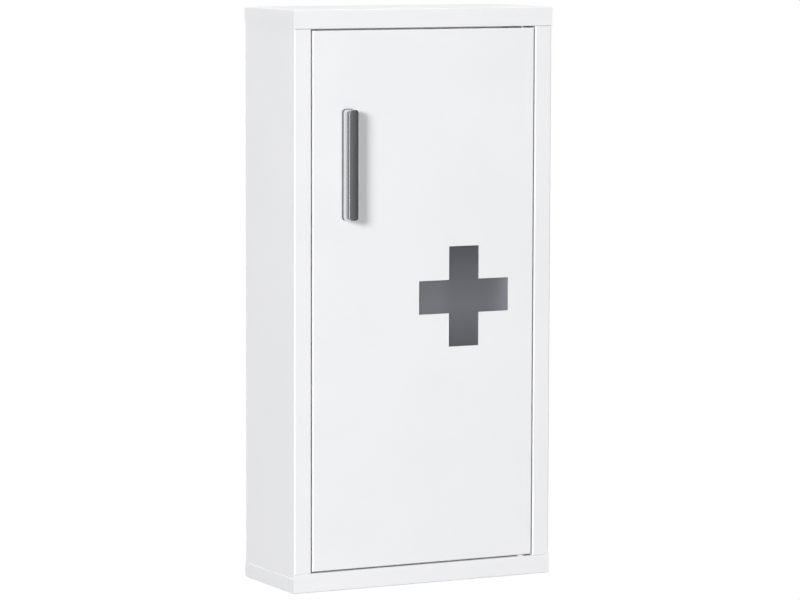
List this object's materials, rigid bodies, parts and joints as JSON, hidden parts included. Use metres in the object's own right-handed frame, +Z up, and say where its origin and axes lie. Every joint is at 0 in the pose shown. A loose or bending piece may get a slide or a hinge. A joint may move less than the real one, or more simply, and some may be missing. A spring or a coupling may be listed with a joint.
{
  "type": "wall medicine cabinet",
  "caption": "Wall medicine cabinet of folded white sheet steel with shelves, a flush hinged door, a cross-shaped smoked window and a bar pull.",
  "frame": {"origin": "centre of the back face, which is the centre of the four wall holes", "axes": "+X to the right as one faces the door, +Y into the wall, +Z up"},
  "size_m": [0.3, 0.1339, 0.6],
  "materials": {
    "casing_paint": "semi-gloss white powder coat with a fine orange peel",
    "shelf_paint": "semi-gloss white powder coat",
    "door_paint": "semi-gloss white powder coat with a fine orange peel",
    "smoked_pane": "satin smoked acrylic",
    "adhesive_tape": "thin black foam tape",
    "handle_metal": "dark satin plating on cast zinc",
    "plated_steel": "bright zinc plating",
    "white_nylon": "natural moulded nylon",
    "catch_plastic": "moulded white plastic",
    "magnet_ferrite": "bare ferrite",
    "bumper_rubber": "soft light grey rubber"
  },
  "bodies": {
    "cabinet": {"top_panel": "casing_paint", "bottom_panel": "casing_paint", "left_side_panel": "casing_paint", "right_side_panel": "casing_paint", "back_panel": "casing_paint", "lower_shelf": "shelf_paint", "lower_shelf_angles": "shelf_paint", "upper_shelf": "shelf_paint", "upper_shelf_angles": "shelf_paint", "catch_bracket": "shelf_paint", "catch_pole_plates": "plated_steel", "catch_screws": "plated_steel", "upper_hinge_bush": "white_nylon", "lower_hinge_bush": "white_nylon", "catch_housing": "catch_plastic", "catch_magnet": "magnet_ferrite", "door_bumpers": "bumper_rubber"},
    "door": {"door_panel": "door_paint", "window_pane": "smoked_pane", "pane_tape": "adhesive_tape", "door_handle": "handle_metal", "handle_screws": "plated_steel", "handle_backing_plate": "door_paint", "upper_hinge_bracket": "door_paint", "lower_hinge_bracket": "door_paint", "upper_hinge_pin": "plated_steel", "lower_hinge_pin": "plated_steel", "hinge_pin_clips": "plated_steel"}
  },
  "joints": [
    {"name": "door_hinge", "type": "hinge", "parent": "cabinet", "child": "door", "pos_m": [0.1175, -0.1142, 0], "axis": [0, 0, 1], "range_deg": [0, 125]}
  ]
}
